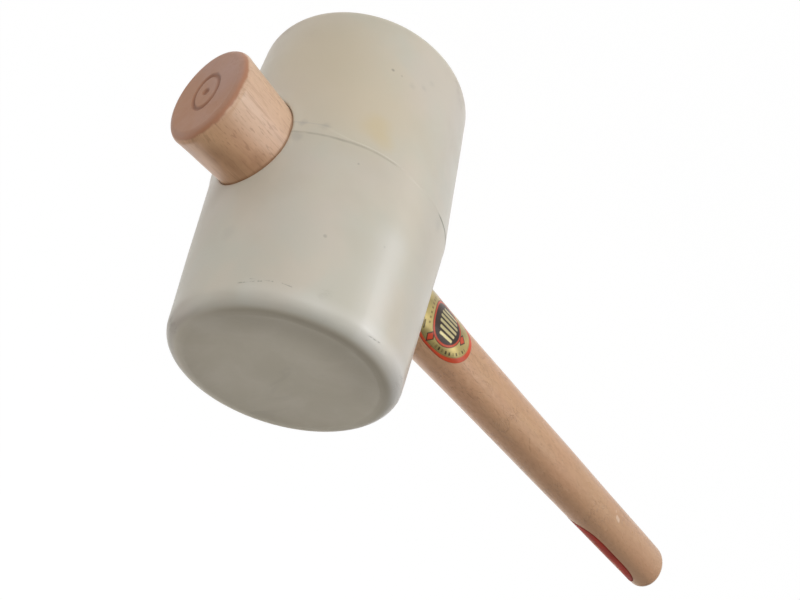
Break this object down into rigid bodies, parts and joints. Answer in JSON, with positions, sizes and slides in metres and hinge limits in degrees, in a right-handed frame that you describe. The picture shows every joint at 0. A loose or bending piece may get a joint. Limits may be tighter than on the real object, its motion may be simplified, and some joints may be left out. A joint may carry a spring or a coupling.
{
  "type": "rubber mallet",
  "caption": "Large white rubber mallet: a barrel-shaped moulded rubber head on a tapered oval beech handle that fits through it from the top.",
  "frame": {"origin": "centre of the lower striking face, which the mallet stands on", "axes": "+Z along the head's axis, from the lower striking face to the upper one; +X along the handle, from the head to the grip; the foil label faces +Y"},
  "size_m": [0.3846, 0.09, 0.138],
  "materials": {
    "white_rubber": "satin off-white rubber, slightly mottled and stained",
    "lacquered_beech": "clear-lacquered beech, brown sealing wax on the eye end",
    "gold_foil_print": "printed gold foil, orange-red border",
    "red_print": "glossy red print with a thin dark edge"
  },
  "bodies": {
    "head": {"rubber_head": "white_rubber"},
    "handle": {"beech_handle": "lacquered_beech", "foil_label": "gold_foil_print", "grip_decal": "red_print"}
  },
  "joints": [
    {"name": "handle_withdrawal", "type": "slide", "parent": "head", "child": "handle", "axis": [-1, 0, 0], "range_m": [0, 0.37]}
  ]
}
